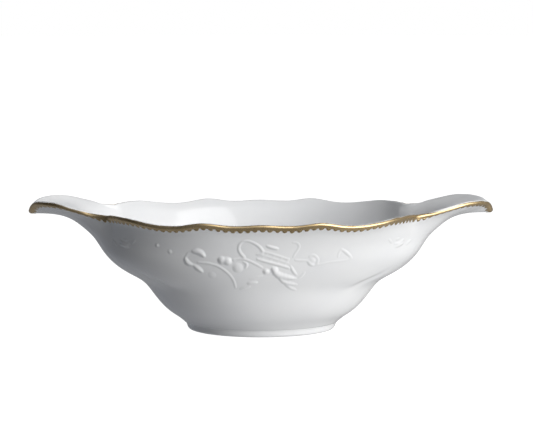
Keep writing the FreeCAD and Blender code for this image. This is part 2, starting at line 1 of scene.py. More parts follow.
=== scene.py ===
import bpy
import math
import numpy as np
from mathutils import Matrix, Vector


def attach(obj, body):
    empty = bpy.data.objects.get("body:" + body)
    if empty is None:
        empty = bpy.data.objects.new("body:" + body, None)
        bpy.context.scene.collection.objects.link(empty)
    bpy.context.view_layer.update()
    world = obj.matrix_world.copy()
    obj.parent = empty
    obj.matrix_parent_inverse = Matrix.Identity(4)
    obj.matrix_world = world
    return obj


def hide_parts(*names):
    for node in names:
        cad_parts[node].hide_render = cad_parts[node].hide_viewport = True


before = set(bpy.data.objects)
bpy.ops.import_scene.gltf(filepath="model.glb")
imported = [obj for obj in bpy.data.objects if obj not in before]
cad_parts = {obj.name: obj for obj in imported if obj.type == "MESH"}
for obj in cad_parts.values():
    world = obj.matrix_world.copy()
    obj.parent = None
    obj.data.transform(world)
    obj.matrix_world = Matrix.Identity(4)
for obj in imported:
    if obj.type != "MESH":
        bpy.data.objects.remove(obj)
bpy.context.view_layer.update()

# ------------------------------------------------------------------
# Bowl shape, in millimetres as in the CAD source; meshes are scaled to metres.
# ------------------------------------------------------------------
FOOT_Z = 5.0
FLOOR_Z = 9.6
FLOOR_A, FLOOR_B = 42.0, 40.5
T_WALL = 4.2
T_RIM = 3.0
TIP_EXTRA = 1.2
GILD_DROP = 1.6
TOOTH_N = 166
TOOTH_H = 1.7
# lower wall levels: z, half length (X), half width (Y), superellipse exponent
WALL = [
 (5.0, 54.8, 52.6, 2.0),
 (8.4, 58.8, 56.0, 2.0),
 (12.6, 64.9, 61.2, 2.0),
 (19.5, 72.2, 68.4, 2.03),
 (27.5, 78.4, 74.6, 2.05),
 (33.0, 82.8, 77.9, 2.07),
 (37.0, 87.7, 80.3, 2.09),
 (41.0, 94.9, 82.9, 2.10),
 (47.5, 104.8, 86.4, 2.10),
 (57.0, 113.3, 89.6, 2.12),
]
# upper levels: z, A, B, n, handle reach added at the end, share of the rim wave
UPPER = [
 (66.0, 113.2, 91.9, 2.2, 6.7, 0.08),
 (72.2, 113.0, 93.7, 2.3, 14.4, 0.22),
 (76.4, 112.5, 95.3, 2.4, 24.6, 0.52),
 (79.0, 112.3, 96.8, 2.5, 37.2, 0.86),
 (80.8, 112.0, 98.0, 2.6, 51.6, 1.00),
]

def pchip(tab):
    xs = [p[0] for p in tab]; ys = [p[1] for p in tab]
    n = len(xs)
    h = [xs[i+1]-xs[i] for i in range(n-1)]
    d = [(ys[i+1]-ys[i])/h[i] for i in range(n-1)]
    m = [0.0]*n
    for i in range(1, n-1):
        if d[i-1]*d[i] > 0:
            w1 = 2*h[i]+h[i-1]; w2 = h[i]+2*h[i-1]
            m[i] = (w1+w2)/(w1/d[i-1]+w2/d[i])
    def f(x):
        if x <= xs[0]: return ys[0]
        if x >= xs[-1]: return ys[-1]
        i = 0
        while x > xs[i+1]: i += 1
        t = (x-xs[i])/h[i]
        return ((2*t**3-3*t*t+1)*ys[i] + (t**3-2*t*t+t)*h[i]*m[i]
                + (-2*t**3+3*t*t)*ys[i+1] + (t**3-t*t)*h[i]*m[i+1])
    return f

REACH_EDGE = pchip([(0,1.0),(2.4,.985),(4.8,.945),(9.6,.81),(13.8,.615),(17.4,.35),(20.5,.12),(23.5,.02),(27,0),(90,0)])
REACH_IN = pchip([(0,1.0),(4.5,.965),(9,.87),(14,.66),(18,.35),(21.5,.11),(24.5,.015),(28,0),(90,0)])
# height of the lip's outer edge round the rim
EDGE_Z = pchip([(0,82.2),(1.2,82.8),(2.6,84.8),(4.2,87.3),(6,88.9),(8,89.7),(10,90.2),(12.2,90.2),(14,89.3),(15.8,87.4),(17.6,85.3),(19,83.9),
                (20.5,83.3),(22,83.1),(24,83.0),(28,83.2),(31,83.1),(34,82.9),(37,82.7),(40,82.2),(43.5,81.2),(47,80.3),(50.5,79.5),
                (54.5,79.2),(57,79.4),(60,80.0),(62.5,80.8),(64.5,81.4),(67.5,81.9),(70.5,81.6),(74.5,80.6),(78,80.1),(81,80.1),
                (84,80.35),(87,80.65),(90,80.8)])
EDGE_BASE = 80.8
H_79 = pchip([(0,81.9),(4.5,83.9),(9,85.6),(14,86.1),(18,83.6),(21.5,81.8),(26,81.2),(34,80.9)])
H_77 = pchip([(0,79.1),(9,80.8),(14,80.9),(18,79.2),(22,78.0),(27,77.6),(34,77.4)])
H_72 = pchip([(0,73.4),(14,73.6),(22,73.0),(30,72.6),(34,72.4)])
H_66 = pchip([(0,66.6),(14,66.4),(22,66.0),(34,66.0)])
HB = [H_66, H_72, H_77, H_79]
PLAN_WAVE = pchip([(0,0),(28,0),(40,0.7),(54.5,-1.1),(67.5,1.0),(78,-0.5),(90,0.3)])

def superell(A, B, n, th):
    return (abs(math.cos(th)/A)**n + abs(math.sin(th)/B)**n)**(-1.0/n)

def fold(th):
    a = math.degrees(th) % 180.0
    return min(a, 180.0-a)

def levels(th):
    """Outer profile at polar angle th: list of (r, z) from the foot to the lip's outer edge."""
    a = fold(th)
    out = [(superell(A, B, n, th), z) for z, A, B, n in WALL]
    wz = EDGE_Z(a)-EDGE_BASE
    w = min(1.0, max(0.0, (a-24.0)/10.0))
    w = w*w*(3-2*w)
    wr = PLAN_WAVE(a)
    for k, (z, A, B, n, reach, share) in enumerate(UPPER):
        g = REACH_EDGE(a) if k == 4 else REACH_IN(a)
        r = superell(A, B, n, th) + reach*g + wr*share
        zz = EDGE_Z(a) if k == 4 else (1-w)*HB[k](a) + w*(z+share*wz)
        out.append((r, zz))
    return out


# centre lines as (x across, z up), width, height, kind
LEFT_SPRAY = [
    ([(-43.7, 56.7), (-37.1, 56.2), (-33.7, 55.5), (-29.3, 53.9), (-24.4, 50.4), (-20.7, 46.3), (-18.9, 42.2), (-18.2, 38.7)], 1.43, 0.72, "tail"),
    ([(-46.8, 64.3), (-44.1, 64.3), (-41.4, 63.3), (-39.4, 61.2)], 4.11, 1.05, "petal"),
    ([(-52.0, 59.2), (-51.5, 57.5), (-50.0, 55.7), (-47.4, 54.6)], 3.57, 0.90, "petal"),
    ([(-46.1, 54.3), (-43.4, 52.2), (-40.7, 50.0)], 3.21, 0.95, "petal"),
    ([(-51.5, 60.7), (-50.1, 62.6), (-47.8, 64.0)], 1.79, 0.42, "plain"),
    ([(-13.2, 57.8), (-10.6, 55.9), (-11.8, 52.3)], 1.34, 0.70, "leaf"),
]
LEFT_SPRAY_BUDS = [(-27.3, 58.5, 2.59, 1.25, "bud"), (-62.7, 63.3, 1.52, 0.60, "bud"), (-34.1, 47.8, 2.86, 0.32, "bud"), (-23.6, 58.0, 2.68, 1.30, "bud"), (-16.8, 53.3, 3.39, 0.62, "bud"), (-71.4, 67.3, 1.34, 0.80, "bud")]
CARTOUCHE = [
    ([(-12.4, 60.9), (-14.5, 63.2), (-15.9, 66.1), (-15.4, 69.5), (-13.1, 71.7), (-10.4, 72.1), (-7.6, 71.4), (-4.2, 69.7), (-1.3, 67.2), (0.2, 64.6)], 1.61, 0.68, "scroll"),
    ([(-18.0, 59.3), (-14.8, 59.5), (-11.3, 59.0), (-7.4, 57.5), (-3.7, 55.5), (-0.2, 53.4)], 1.34, 0.62, "plain"),
    ([(2.9, 68.6), (6.7, 67.4), (10.4, 66.5)], 1.79, 0.95, "petal"),
    ([(1.0, 64.6), (5.7, 63.2), (11.4, 61.3), (17.7, 59.0)], 1.25, 0.52, "plain"),
    ([(-1.0, 62.3), (5.0, 60.6), (11.8, 58.2), (17.9, 56.1)], 0.98, 0.42, "plain"),
    ([(-3.4, 59.5), (3.4, 57.4), (11.8, 55.1), (18.2, 52.9)], 1.43, 0.85, "plain"),
    ([(4.2, 64.1), (1.3, 61.5), (-1.5, 59.0)], 0.89, 0.36, "plain"),
    ([(8.8, 62.5), (6.3, 59.9), (3.8, 57.2)], 0.89, 0.36, "plain"),
    ([(13.5, 60.8), (11.3, 58.3), (9.1, 55.8)], 0.89, 0.36, "plain"),
    ([(18.1, 60.1), (16.1, 57.1), (14.1, 54.1)], 0.89, 0.36, "plain"),
    ([(20.1, 70.9), (23.3, 70.5), (24.7, 68.4), (23.7, 65.6), (22.0, 63.2), (20.7, 60.6)], 1.16, 0.48, "plain"),
    ([(-4.2, 62.7), (-1.0, 63.2), (1.0, 64.9)], 1.79, 0.60, "leaf"),
]
CARTOUCHE_BUDS = [(2.4, 50.7, 1.96, 1.05, "bud"), (-19.2, 58.8, 1.16, 0.55, "bud")]
LOWER_LEAVES = [
    ([(6.9, 52.7), (8.6, 50.0), (11.5, 47.8), (15.9, 46.5), (22.4, 45.3)], 4.11, 1.15, "leaf"),
    ([(11.4, 45.8), (14.6, 43.2), (18.9, 41.7), (23.5, 40.8)], 2.68, 0.90, "leaf"),
    ([(15.5, 41.4), (19.4, 38.5), (23.5, 36.4)], 1.96, 0.62, "leaf"),
    ([(18.7, 54.8), (20.8, 50.8), (23.4, 47.4)], 1.61, 0.70, "leaf"),
    ([(28.8, 50.1), (26.4, 47.1), (23.2, 44.7)], 1.43, 0.55, "leaf"),
    ([(0.2, 47.5), (-2.8, 46.8), (-6.0, 45.9), (-9.7, 45.4)], 1.34, 0.55, "leaf"),
    ([(-9.8, 42.1), (-7.1, 42.5), (-3.7, 43.0)], 2.32, 0.85, "petal"),
    ([(-15.2, 37.8), (-11.8, 38.8), (-8.4, 39.7)], 1.70, 0.65, "petal"),
]
LOWER_LEAVES_BUDS = [(8.3, 51.8, 2.14, 1.00, "plain")]
RIGHT_SPRAY = [
    ([(21.9, 58.6), (25.7, 58.2), (29.7, 58.0)], 1.25, 0.50, "plain"),
    ([(31.4, 60.5), (33.7, 61.9), (35.9, 60.9), (37.5, 58.6), (36.9, 55.6)], 1.34, 0.52, "plain"),
    ([(30.7, 57.7), (32.3, 55.6), (34.5, 54.6)], 1.96, 0.78, "petal"),
    ([(35.5, 54.4), (38.9, 55.0), (44.0, 56.1), (50.0, 56.8), (55.2, 57.0), (60.6, 58.3)], 0.98, 0.50, "plain"),
    ([(53.7, 65.4), (56.4, 63.1), (59.0, 60.7), (60.9, 58.4)], 1.70, 0.66, "leaf"),
    ([(53.5, 65.4), (51.8, 62.6), (51.2, 59.5)], 1.16, 0.45, "plain"),
]
RIGHT_SPRAY_BUDS = [(33.8, 58.0, 2.14, 0.55, "bud")]
HANDLE_SPRIG = [
    ([(-103.6, 67.1), (-101.7, 65.8), (-99.7, 64.0)], 1.43, 0.60, "leaf"),
    ([(-97.6, 65.9), (-94.6, 64.9), (-91.2, 63.7)], 1.61, 0.90, "leaf"),
    ([(-98.4, 68.5), (-96.0, 67.3), (-93.6, 66.2), (-90.6, 66.4)], 1.31, 0.75, "leaf"),
    ([(-94.7, 69.8), (-93.5, 69.4), (-92.2, 69.0)], 1.19, 0.65, "petal"),
    ([(-89.3, 67.0), (-88.0, 68.5), (-86.7, 70.1)], 1.07, 0.50, "petal"),
]

def spline_at(r, z, u):
    """Natural cubic splines by chord length, for every column at once. r, z: (n, k); u: (m,) in 0..1. Returns (n, m, 2)."""
    n, k = r.shape
    h = np.hypot(np.diff(r, axis=1), np.diff(z, axis=1))
    s = np.concatenate([np.zeros((n, 1)), np.cumsum(h, axis=1)], axis=1)
    out = np.zeros((n, len(u), 2))
    for c, y in enumerate((r, z)):
        A = np.zeros((n, k, k)); B = np.zeros((n, k))
        A[:, 0, 0] = 1.0; A[:, -1, -1] = 1.0
        for i in range(1, k-1):
            A[:, i, i-1] = h[:, i-1]; A[:, i, i] = 2*(h[:, i-1]+h[:, i]); A[:, i, i+1] = h[:, i]
            B[:, i] = 3*((y[:, i+1]-y[:, i])/h[:, i]-(y[:, i]-y[:, i-1])/h[:, i-1])
        cc = np.linalg.solve(A, B[..., None])[..., 0]
        b = (y[:, 1:]-y[:, :-1])/h-h*(cc[:, 1:]+2*cc[:, :-1])/3
        d = (cc[:, 1:]-cc[:, :-1])/(3*h)
        for i in range(n):
            x = u*s[i, -1]
            q = np.clip(np.searchsorted(s[i], x, side="right")-1, 0, k-2)
            t = x-s[i][q]
            out[i, :, c] = y[i][q]+b[i][q]*t+cc[i][q]*t*t+d[i][q]*t**3
    return out

def columns(th):
    """Level points (r, z) for each angle in th."""
    L = [levels(t) for t in th]
    return np.array([[p[0] for p in c] for c in L]), np.array([[p[1] for p in c] for c in L])

N_TH = 440                  # columns round the bowl
M_OUT = 88                  # rows up the outside
K_LIP = 13                  # rows over the lip
s_ = 2*math.pi*np.arange(N_TH)/N_TH
THETA = s_-0.22*np.sin(2*s_)
U_OUT = np.linspace(0, 1, M_OUT)
U_OUT = U_OUT+0.03*np.sin(2*math.pi*U_OUT)/(2*math.pi)

def unit_rows(v):
    return v/np.maximum(1e-12, np.linalg.norm(v, axis=-1, keepdims=True))

def outer_points(th, u):
    rc, zc = columns(th)
    rz = spline_at(rc, zc, u)
    return np.stack([rz[..., 0]*np.cos(th)[:, None], rz[..., 0]*np.sin(th)[:, None], rz[..., 1]], -1)

def grid_normals(G, closed=True):
    if closed:
        du = np.roll(G, -1, 0)-np.roll(G, 1, 0)
    else:
        du = np.gradient(G, axis=0)
    dv = np.empty_like(G)
    dv[:, 1:-1] = G[:, 2:]-G[:, :-2]
    dv[:, 0] = -3*G[:, 0]+4*G[:, 1]-G[:, 2]
    dv[:, -1] = 3*G[:, -1]-4*G[:, -2]+G[:, -3]
    return unit_rows(np.cross(du, dv)), unit_rows(dv)

OUT = outer_points(THETA, U_OUT)
N_OUT, T_OUT = grid_normals(OUT)

RIM_T = T_RIM+TIP_EXTRA*np.exp(-(np.array([fold(t) for t in THETA])/6.0)**2)

def wall_thickness(u):
    w = np.clip((u-0.55)/0.45, 0, 1)
    w = w*w*(3-2*w)
    return T_WALL+(RIM_T[:, None]-T_WALL)*w[None]

def lip_points(extra=0.0, phis=None):
    """Rows over the lip, offset outwards by extra."""
    if phis is None:
        phis = np.radians(np.linspace(0, 180, K_LIP+2)[1:-1])
    E, n, t = OUT[:, -1], N_OUT[:, -1], T_OUT[:, -1]
    t = unit_rows(t-n*np.sum(t*n, -1, keepdims=True))
    C = E-n*RIM_T[:, None]/2
    h = (RIM_T/2+extra)[:, None, None]
    return C[:, None]+h*(n[:, None]*np.cos(phis)[None, :, None]+t[:, None]*np.sin(phis)[None, :, None])

def smooth_floor(G):
    """Rows from the inner wall's foot to the floor's edge."""
    last, prev = G[:, -1], G[:, -2]
    rl, zl = np.hypot(last[:, 0], last[:, 1]), last[:, 2]
    rp, zp = np.hypot(prev[:, 0], prev[:, 1]), prev[:, 2]
    th = THETA
    r1 = (np.abs(np.cos(th)/FLOOR_A)**2+np.abs(np.sin(th)/FLOOR_B)**2)**-0.5
    sl = np.stack([rl-rp, zl-zp], -1); sl /= np.linalg.norm(sl, axis=-1, keepdims=True)
    span = np.hypot(rl-r1, zl-FLOOR_Z)
    m0r, m0z, m1r = sl[:, 0]*span*0.9, sl[:, 1]*span*0.9, -span
    rows = []
    for t in np.linspace(0, 1, 11)[1:]:
        a0, a1, a2, a3 = 2*t**3-3*t*t+1, t**3-2*t*t+t, -2*t**3+3*t*t, t**3-t*t
        r = a0*rl+a1*m0r+a2*r1+a3*m1r
        z = a0*zl+a1*m0z+a2*FLOOR_Z
        rows.append(np.stack([r*np.cos(th), r*np.sin(th), z], -1))
    return np.stack(rows, 1)

def new_mesh(name, verts, faces, mats=(), face_mat=None, smooth=True):
    me = bpy.data.meshes.new(name)
    me.from_pydata([tuple(v) for v in (np.asarray(verts)*0.001)], [], faces)
    me.update()
    ob = bpy.data.objects.new(name, me)
    bpy.context.collection.objects.link(ob)
    for m in mats: me.materials.append(m)
    if face_mat is not None:
        me.polygons.foreach_set("material_index", np.asarray(face_mat, dtype=np.int32))
    me.polygons.foreach_set("use_smooth", [smooth]*len(me.polygons))
    me.validate()
    me.update()
    return ob

def strip_faces(n, m, base=0, closed=True):
    f = []
    for i in range(n if closed else n-1):
        k = (i+1) % n
        for j in range(m-1):
            f.append((base+i*m+j, base+k*m+j, base+k*m+j+1, base+i*m+j+1))
    return f

def set_uv(ob, uv):
    """uv per vertex."""
    me = ob.data
    layer = me.uv_layers.new(name="uv")
    idx = np.empty(len(me.loops), dtype=np.int32)
    me.loops.foreach_get("vertex_index", idx)
    layer.data.foreach_set("uv", np.asarray(uv)[idx].astype(np.float32).ravel())

# ---- bowl body ----
# where the waist sweeps down from each shoulder and dies out: x, y, z, depth
CREASE = [(86.5, -50.5, 44.6, 0.3), (82.5, -51.5, 42.3, 0.7), (77.6, -53.0, 40.0, 1.0), (72.5, -54.6, 38.0, 1.0),
          (68.0, -55.6, 36.0, 0.9), (64.3, -56.4, 34.4, 0.75), (60.0, -59.0, 33.6, 0.5), (55.6, -62.0, 33.3, 0.25),
          (51.0, -65.0, 33.4, 0.0)]

def soft_crease(P, sigma=3.6):
    """Depth of the crease at points P (n, 3); the same in all four quarters."""
    Q = np.stack([np.abs(P[:, 0]), -np.abs(P[:, 1]), P[:, 2]], -1)
    C = np.array(CREASE)
    best = np.full(len(Q), 1e9); dep = np.zeros(len(Q))
    for a, b in zip(C[:-1], C[1:]):
        ab = b[:3]-a[:3]
        t = np.clip((Q-a[:3])@ab/(ab@ab), 0, 1)
        d = np.linalg.norm(Q-a[:3]-t[:, None]*ab, axis=-1)
        near = d < best
        best = np.where(near, d, best); dep = np.where(near, a[3]+t*(b[3]-a[3]), dep)
    return dep*np.exp(-(best/sigma)**2)

def build_body():
    inner_rows = []
    th_w = wall_thickness(U_OUT)
    inn = OUT-N_OUT*th_w[:, :, None]
    k0 = int(np.searchsorted(U_OUT, 4.0/26.0))
    inner = inn[:, ::-1][:, :M_OUT-k0]
    dent = soft_crease(OUT.reshape(-1, 3)).reshape(OUT.shape[:2])
    G = np.concatenate([OUT-N_OUT*dent[:, :, None], lip_points(), inner], 1)
    G = np.concatenate([G, smooth_floor(G)], 1)
    n, m = G.shape[:2]
    V = [G.reshape(-1, 3)]
    F = strip_faces(n, m)
    base = n*m
    # underside and floor, closed with rings
    for row, z, up in ((0, FOOT_Z, False), (m-1, FLOOR_Z, True)):
        ring_idx = [i*m+row for i in range(n)]
        P = G[:, row]
        prev = ring_idx
        for q in (0.93, 0.8, 0.62, 0.42, 0.2):
            V.append(np.stack([P[:, 0]*q, P[:, 1]*q, np.full(n, z)], -1))
            cur = [base+i for i in range(n)]
            base += n
            for i in range(n):
                k = (i+1) % n
                F.append((prev[i], prev[k], cur[k], cur[i]) if up else (prev[k], prev[i], cur[i], cur[k]))
            prev = cur
        V.append(np.array([[0, 0, z]])); c = base; base += 1
        for i in range(n):
            k = (i+1) % n
            F.append((prev[i], prev[k], c) if up else (prev[k], prev[i], c))
    return np.concatenate(V), F, G

# ---- foot ring ----
def build_foot():
    th = 2*math.pi*np.arange(240)/240
    prof = []   # (z, semi axis a, semi axis b, offset)
    for z, a, b in [(5.0, 54.72, 52.52), (4.6, 54.32, 52.2), (4.2, 54.0, 51.95), (3.7, 53.71, 51.75), (3.2, 53.5, 51.6), (2.5, 53.22, 51.44), (1.8, 53.0, 51.3),
                    (1.2, 52.72, 51.1), (0.7, 52.4, 50.8), (0.35, 52.05, 50.45), (0.1, 51.75, 50.15), (0.0, 51.5, 49.9),
                    (0.0, 51.0, 49.4), (0.0, 50.3, 48.6), (0.0, 49.6, 47.9), (0.0, 49.15, 47.45),
                    (0.12, 48.9, 47.2), (0.4, 48.6, 46.9), (0.9, 48.1, 46.4), (2.0, 47.7, 45.95), (3.0, 47.4, 45.6), (4.2, 47.15, 45.35), (5.0, 47.0, 45.2)]:
        prof.append(np.stack([a*np.cos(th), b*np.sin(th), np.full(240, z)], -1))
    G = np.stack(prof, 1)
    n, m = G.shape[:2]
    F = strip_faces(n, m)
    # outward is away from the ring: profile runs down the outside, so flip
    F = [f[::-1] for f in F]
    for i in range(n):
        k = (i+1) % n
        F.append((i*m, k*m, k*m+m-1, i*m+m-1))
    mat = []
    for i in range(n):
        for j in range(m-1):
            mat.append(1 if 10 <= j <= 15 else 0)
    mat += [0]*n
    return G.reshape(-1, 3), F, mat

# ---- gilding: a thin skin over the lip, its lower edge drawn by hand, and the toothed border ----
def rim_curve(drop):
    """Outside points, normals and down directions at a distance below the lip's edge for every column. drop: (N_TH,) or number."""
    seg = np.linalg.norm(np.diff(OUT, axis=1), axis=-1)
    s = np.concatenate([np.zeros((N_TH, 1)), np.cumsum(seg, axis=1)], axis=1)
    d = np.broadcast_to(np.asarray(drop, float), (N_TH,))
    P = np.empty((N_TH, 3)); N = np.empty((N_TH, 3)); D = np.empty((N_TH, 3))
    for i in range(N_TH):
        x = s[i, -1]-d[i]
        j = min(M_OUT-2, max(0, int(np.searchsorted(s[i], x, side="right"))-1))
        t = (x-s[i, j])/(s[i, j+1]-s[i, j])
        P[i] = OUT[i, j]*(1-t)+OUT[i, j+1]*t
        N[i] = N_OUT[i, j]*(1-t)+N_OUT[i, j+1]*t
        D[i] = -(T_OUT[i, j]*(1-t)+T_OUT[i, j+1]*t)
    return P, unit_rows(N), unit_rows(D)

def around(values, s):
    """Periodic linear lookup of per-column values at column position s (float)."""
    i = np.floor(s).astype(int) % N_TH
    k = (i+1) % N_TH
    t = (s-np.floor(s))[:, None]
    return values[i]*(1-t)+values[k]*t

EDGE0, EDGEN, EDGED = rim_curve(GILD_DROP)
RIM_LEN = np.concatenate([[0], np.cumsum(np.linalg.norm(np.roll(EDGE0, -1, 0)-EDGE0, axis=-1))])
RIM_TOTAL = RIM_LEN[-1]

def build_band():
    skin = 0.10
    wob = 0.06*np.sin(s_*61+0.4)+0.04*np.sin(s_*97+1.9)+0.03*np.sin(s_*153+0.7)
    rows, offs = [], []
    drops = GILD_DROP+wob
    for q, k in ((1.0, 0.0), (0.985, 0.55), (0.94, 0.95), (0.8, 1.0), (0.6, 1.0), (0.4, 1.0), (0.2, 1.0), (0.0, 1.0)):
        P, N, D = rim_curve(drops*q)
        rows.append(P+N*(skin*k)); offs.append(P-N*0.25)
    top = 104.0+5.0*np.sin(s_*43+1.0)+3.0*np.sin(s_*71)
    phis = [12, 26, 40, 54, 68, 80, 90]
    E, n, t = OUT[:, -1], N_OUT[:, -1], T_OUT[:, -1]
    t = unit_rows(t-n*np.sum(t*n, -1, keepdims=True))
    C = E-n*RIM_T[:, None]/2
    def at(phi, extra):
        c, s = np.cos(np.radians(phi)), np.sin(np.radians(phi))
        return C+(n*np.reshape(c, (-1, 1))+t*np.reshape(s, (-1, 1)))*(RIM_T/2+extra)[:, None]
    for p in phis:
        rows.append(at(np.full(N_TH, float(p)), skin)); offs.append(at(np.full(N_TH, float(p)), -0.25))
    for dp, k in ((-6, 0.95), (-2, 0.55), (0, 0.0)):
        rows.append(at(top+dp, skin*k)); offs.append(at(top+dp, -0.25))
    A = np.stack(rows, 1); B = np.stack(offs, 1)
    m = A.shape[1]
    G = np.concatenate([A, B[:, ::-1]], 1)
    M = G.shape[1]
    F = strip_faces(N_TH, M)
    for i in range(N_TH):
        k = (i+1) % N_TH
        F.append((i*M+M-1, k*M+M-1, k*M, i*M))
    F = [f for f in F]
    u = np.repeat(RIM_LEN[:-1][:, None], M, 1)*0.001
    v = np.repeat((np.arange(M)/M)[None], N_TH, 0)*0.01
    return G.reshape(-1, 3), F, np.stack([u.ravel(), v.ravel()], -1)

def build_teeth():
    pitch = RIM_TOTAL/TOOTH_N
    rng = np.random.default_rng(7)
    V, F = [], []
    base = 0
    drops = [GILD_DROP+TOOTH_H*q for q in (-0.16, 0.05, 0.3, 0.53, 0.72, 0.88, 0.98, 1.03)]
    rows = [rim_curve(d) for d in drops]
    width = [0.50, 0.50, 0.475, 0.425, 0.35, 0.25, 0.14, 0.04]   # share of the tooth's width, half
    hs = [0.15, 0.42, 0.50, 0.50, 0.46, 0.38, 0.22, 0.0]        # height of the pad
    cols = np.array([-1, -0.8, -0.45, 0, 0.45, 0.8, 1])
    dome = np.array([0.0, 0.62, 0.93, 1.0, 0.93, 0.62, 0.0])
    idx = np.arange(N_TH+1, dtype=float)
    for k in range(TOOTH_N):
        w = pitch*0.70*(1+rng.uniform(-0.07, 0.07))
        sc = (k+0.5)*pitch+rng.uniform(-0.12, 0.12)
        hh = 1+rng.uniform(-0.12, 0.08)
        n_r = len(drops)
        top = []; bot = []
        for q in range(n_r):
            P, N, D = rows[q]
            s = (sc+cols*width[q]*w*2*0.5*2*0.5)
            pos = np.interp(s % RIM_TOTAL, RIM_LEN, idx)
            p = around(P, pos); nn = unit_rows(around(N, pos))
            if q > 1:
                p0 = around(rows[1][0], pos)
                p = p0+(p-p0)*hh
            top.append(p+nn*(0.02+hs[q]*0.36*dome)[:, None])
            bot.append(p-nn*0.25)
        T = np.stack(top); B = np.stack(bot)
        nr, nc = T.shape[:2]
        V.append(T.reshape(-1, 3)); V.append(B.reshape(-1, 3))
        o = base; ob = base+nr*nc
        for a in range(nr-1):
            for b in range(nc-1):
                F.append((o+a*nc+b, o+(a+1)*nc+b, o+(a+1)*nc+b+1, o+a*nc+b+1))
                F.append((ob+a*nc+b, ob+a*nc+b+1, ob+(a+1)*nc+b+1, ob+(a+1)*nc+b))
        rim = [(a, 0) for a in range(nr)]+[(nr-1, b) for b in range(1, nc)]+[(a, nc-1) for a in range(nr-2, -1, -1)]+[(0, b) for b in range(nc-2, 0, -1)]
        for q in range(len(rim)):
            a, b = rim[q]; c, d = rim[(q+1) % len(rim)]
            F.append((o+a*nc+b, ob+a*nc+b, ob+c*nc+d, o+c*nc+d))
        base += 2*nr*nc
    return np.concatenate(V), F

# ---- raised ornament ----
Z_LO, Z_HI, Z_ST = 8.0, 79.0, 0.5
def wall_lookup():
    th = np.linspace(-math.pi, 0, 721)
    rc, zc = columns(th)
    rz = spline_at(rc, zc, np.linspace(0, 1, 500))
    zs = np.arange(Z_LO, Z_HI, Z_ST)
    tab = np.array([np.interp(zs, rz[i, :, 1], rz[i, :, 0]) for i in range(len(th))])
    return th, zs, tab
WTH, WZS, WTAB = wall_lookup()

def wall_r(th, z):
    u = np.clip((th+math.pi)/math.pi*720, 0, 719.999); i = u.astype(int); p = u-i
    v = np.clip((z-Z_LO)/Z_ST, 0, len(WZS)-1.001); j = v.astype(int); q = v-j
    return (1-p)*((1-q)*WTAB[i, j]+q*WTAB[i, j+1])+p*((1-q)*WTAB[i+1, j]+q*WTAB[i+1, j+1])

def wall_at(x, z):
    x = np.asarray(x, float); z = np.asarray(z, float)
    lo = np.full(x.shape, -math.pi); hi = np.zeros(x.shape)
    for _ in range(30):
        m = (lo+hi)/2
        less = wall_r(m, z)*np.cos(m) < x
        lo = np.where(less, m, lo); hi = np.where(less, hi, m)
    th = (lo+hi)/2
    return np.stack([x, wall_r(th, z)*np.sin(th), z], -1)

def wall_normal(x, z):
    e = 0.5
    a = wall_at(x+e, z)-wall_at(x-e, z)
    b = wall_at(x, z+e)-wall_at(x, z-e)
    return unit_rows(np.cross(a, b))

def catmull(P, step=0.25):
    P = np.asarray(P, float)
    Q = np.concatenate([[2*P[0]-P[1]], P, [2*P[-1]-P[-2]]])
    out = []
    for k in range(1, len(Q)-2):
        a, b, c, d = Q[k-1:k+3]
        m = max(2, int(np.linalg.norm(c-b)/step))
        t = (np.arange(m)/m)[:, None]
        out.append(0.5*((2*b)+(-a+c)*t+(2*a-5*b+4*c-d)*t*t+(-a+3*b-3*c+d)*t**3))
    out.append(P[-1:])
    return np.concatenate(out)

def bell(t):
    t = np.clip(t, 0, 1)
    return (1-t*t)**2

def taper(t, kind):
    """Width along a stroke, t from 0 to 1."""
    if kind == "leaf":
        return np.maximum(0.22, np.sin(math.pi*np.clip(0.10+0.88*t, 0, 1))**0.8)
    if kind == "petal":
        return np.maximum(0.30, np.sin(math.pi*np.clip(0.08+0.84*t, 0, 1))**0.6)
    if kind == "tail":
        return 0.75+0.25*np.sin(math.pi*t)-0.15*t
    if kind == "scroll":
        return 0.70+0.40*np.cos(math.pi*t)**2
    return 0.80+0.20*np.sin(math.pi*t)

